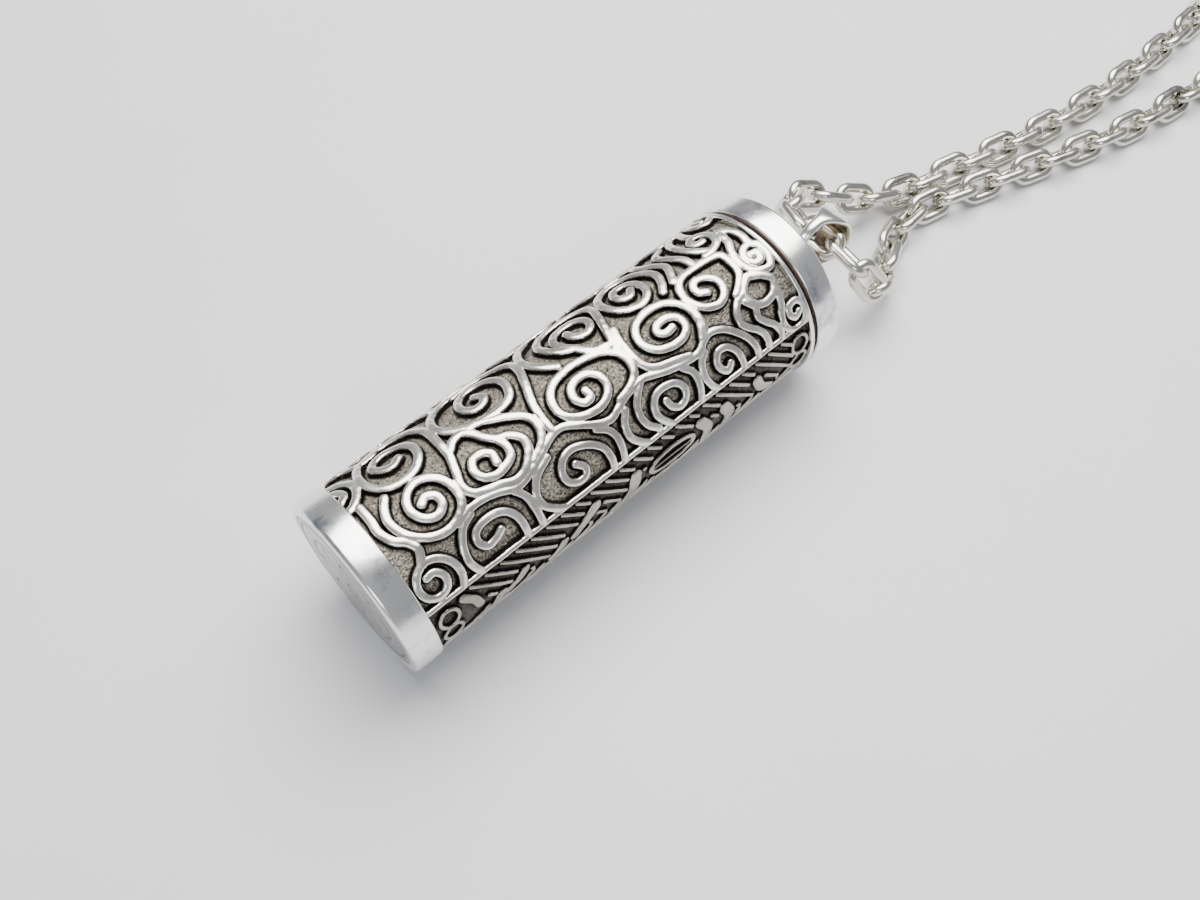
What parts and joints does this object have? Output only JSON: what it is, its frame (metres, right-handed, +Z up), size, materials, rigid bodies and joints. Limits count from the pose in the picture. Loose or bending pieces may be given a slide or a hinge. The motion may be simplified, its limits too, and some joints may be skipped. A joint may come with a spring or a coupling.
{
  "type": "capsule pendant",
  "caption": "Screw-cap cylindrical capsule pendant with cloud-scroll relief, swinging bail and cable chain with lobster clasp.",
  "frame": {"origin": "under the middle of the pendant's length, counted from the base to the far side of the bail, on the surface that the capsule lies on", "axes": "+X along the capsule from its base to its bail, +Z up, the capsule lying on its side; the chain lies on the same surface and runs off along +X"},
  "size_m": [0.1503, 0.0232, 0.015],
  "materials": {
    "polished_silver": "polished silver with fine handling scratches",
    "satin_silver": "satin silver, lightly tarnished",
    "oxidised_silver": "cast silver relief, bright on the ridges and oxidised dark in the recesses",
    "gasket_rubber": "brown rubber",
    "chain_steel": "bright polished chain",
    "clasp_steel": "polished clasp",
    "tie_thread": "natural cotton tape"
  },
  "bodies": {
    "necklace": {"bail": "polished_silver", "bail_link": "chain_steel", "chain_strand_left": "chain_steel", "chain_strand_right": "chain_steel", "chain_hank": "chain_steel", "hank_tie_near": "tie_thread", "hank_tie_far": "tie_thread", "jump_ring": "chain_steel", "end_ring": "chain_steel", "clasp_body": "clasp_steel", "clasp_pin": "clasp_steel", "clasp_spring": "clasp_steel"},
    "cap": {"cap_band": "polished_silver", "cap_dome": "polished_silver", "screw_plug": "satin_silver", "eyelet": "polished_silver"},
    "seal": {"gasket": "gasket_rubber"},
    "vessel": {"base_band": "polished_silver", "base_plate": "satin_silver", "vial_tube": "satin_silver", "relief_sleeve": "oxidised_silver", "seam_panel": "oxidised_silver", "mouth_lip": "polished_silver", "mouth_bush": "satin_silver"},
    "trigger": {"clasp_lever": "clasp_steel"}
  },
  "joints": [
    {"name": "bail_swing", "type": "hinge", "parent": "necklace", "child": "cap", "pos_m": [0.01988, 0, 0.0075], "axis": [0, 0, 1], "range_deg": [-30, 30]},
    {"name": "unscrew", "type": "hinge", "parent": "cap", "child": "seal", "pos_m": [0, 0, 0.0075], "axis": [-1, 0, 0], "range_deg": [0, 1980]},
    {"name": "thread_travel", "type": "slide", "parent": "seal", "child": "vessel", "axis": [-1, 0, 0], "range_m": [0, 0.0055]},
    {"name": "clasp_trigger", "type": "hinge", "parent": "necklace", "child": "trigger", "pos_m": [0.1076, -0.0067, 0.0012], "axis": [0, 0, -1], "range_deg": [0, 20], "stiffness_Nm_per_rad": 0.008, "springref_deg": -2.86}
  ],
  "couplings": [
    {"joint": "unscrew", "follows": "thread_travel", "rad_per_m": 6283.2}
  ]
}
